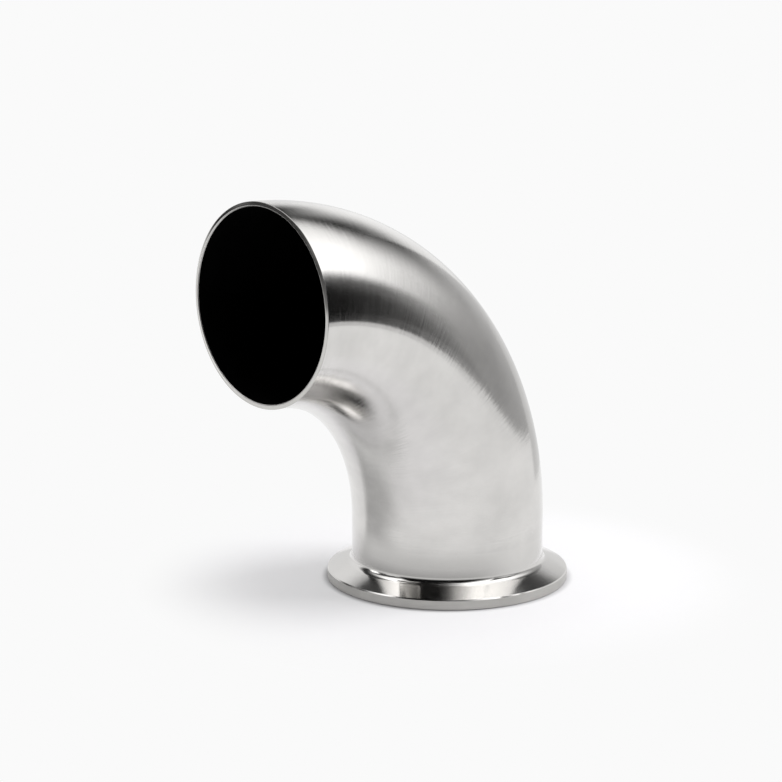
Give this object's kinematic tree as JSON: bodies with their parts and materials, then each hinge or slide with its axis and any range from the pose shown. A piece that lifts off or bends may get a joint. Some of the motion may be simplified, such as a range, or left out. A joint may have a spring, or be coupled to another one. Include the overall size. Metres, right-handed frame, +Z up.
{
  "type": "sanitary ninety degree elbow",
  "caption": "Stainless tube bend that turns a hygienic line through a right angle, with a clamp ferrule at one end and a plain weld end at the other.",
  "frame": {"origin": "centre of the clamp ferrule's sealing face, which the fitting stands on", "axes": "+Z up the clamp end's axis into the fitting; the weld end opens towards -X at 80.5 mm above the sealing face; the bend lies in the XZ plane"},
  "size_m": [0.0955, 0.064, 0.1059],
  "materials": {
    "satin_steel": "satin polished outside, with a fine even grain",
    "polished_steel": "turned and mirror polished on the clamp cone, fine turned on the rim and sealing face"
  },
  "bodies": {
    "root": {"bend_tube": "satin_steel", "clamp_ferrule": "polished_steel"}
  },
  "joints": []
}
